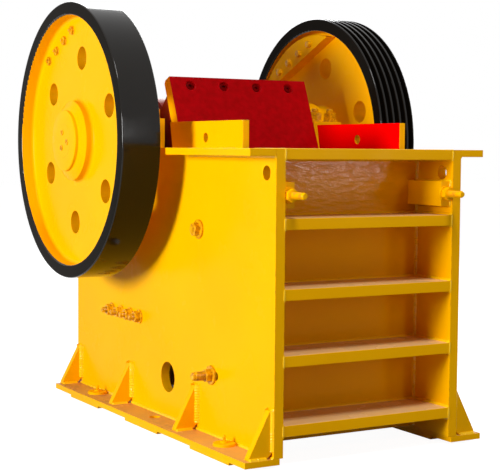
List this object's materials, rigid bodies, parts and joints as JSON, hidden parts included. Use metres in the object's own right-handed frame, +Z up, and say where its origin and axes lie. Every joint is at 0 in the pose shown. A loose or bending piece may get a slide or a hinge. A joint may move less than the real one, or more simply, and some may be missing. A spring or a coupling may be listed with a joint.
{
  "type": "jaw crusher",
  "caption": "Single-toggle jaw crusher: welded plate frame, eccentric shaft with flywheel and grooved belt sheave, swing jaw, toggle plate and sprung tension rod.",
  "frame": {"origin": "centre of the foundation bolt pattern, on the underside of the base pads", "axes": "+Z up; -Y towards the front wall; flywheel at -X and belt sheave at +X"},
  "size_m": [1.243, 1.6961, 1.544],
  "materials": {
    "yellow_paint": "gloss",
    "red_paint": "gloss",
    "red_oxide_paint": "gloss",
    "cast_wheel": "painted gloss, black rim",
    "bare_steel": "zinc plated",
    "machined_steel": "machined",
    "spring_steel": "satin",
    "manganese_steel": "as cast",
    "cast_iron_grey": "as cast"
  },
  "bodies": {
    "root": {"side_plate_left": "yellow_paint", "side_plate_right": "yellow_paint", "top_flange_left": "yellow_paint", "top_flange_right": "yellow_paint", "base_flange_left": "yellow_paint", "base_flange_right": "yellow_paint", "clamp_block_left": "yellow_paint", "clamp_block_right": "yellow_paint", "bearing_seat_left": "yellow_paint", "bearing_seat_right": "yellow_paint", "bearing_cap_left": "yellow_paint", "bearing_cap_right": "yellow_paint", "bearing_left": "machined_steel", "bearing_right": "machined_steel", "cheek_plate_left": "red_paint", "cheek_plate_right": "red_paint", "seat_guide_left": "yellow_paint", "seat_guide_right": "yellow_paint", "base_pads": "yellow_paint", "gussets": "yellow_paint", "seat_gussets": "yellow_paint", "clamp_bolts": "yellow_paint", "cap_bolts": "yellow_paint", "guide_bolts": "yellow_paint", "liner_bolts": "yellow_paint", "front_wall": "yellow_paint", "front_rib_1": "yellow_paint", "front_rib_2": "yellow_paint", "front_rib_3": "yellow_paint", "front_rib_4": "yellow_paint", "front_rib_5": "yellow_paint", "rear_wall": "yellow_paint", "rear_rib_1": "yellow_paint", "rear_rib_2": "yellow_paint", "rear_rib_3": "yellow_paint", "fixed_tooth_plate": "manganese_steel", "toggle_seat": "yellow_paint", "shim_pack": "bare_steel", "toggle_plate": "cast_iron_grey", "tension_spring": "spring_steel"},
    "rotor": {"eccentric_shaft": "machined_steel", "flywheel": "cast_wheel", "belt_sheave": "cast_wheel", "flywheel_counterweight": "yellow_paint", "sheave_counterweight": "yellow_paint", "shaft_end_caps": "yellow_paint"},
    "swing_jaw": {"pitman": "red_oxide_paint", "guard_plate": "red_paint", "swing_tooth_plate": "manganese_steel", "tension_rod": "bare_steel", "rod_pin": "bare_steel"}
  },
  "joints": [
    {"name": "rotor_spin", "type": "hinge", "parent": "root", "child": "rotor", "pos_m": [0, 0.3341, 1.032], "axis": [1, 0, 0], "continuous": true},
    {"name": "jaw_on_eccentric", "type": "hinge", "parent": "rotor", "child": "swing_jaw", "pos_m": [0, 0.32921, 1.02104], "axis": [1, 0, 0], "continuous": true}
  ],
  "couplings": [
    {"joint": "jaw_on_eccentric", "follows": "rotor_spin", "ratio": -1}
  ]
}
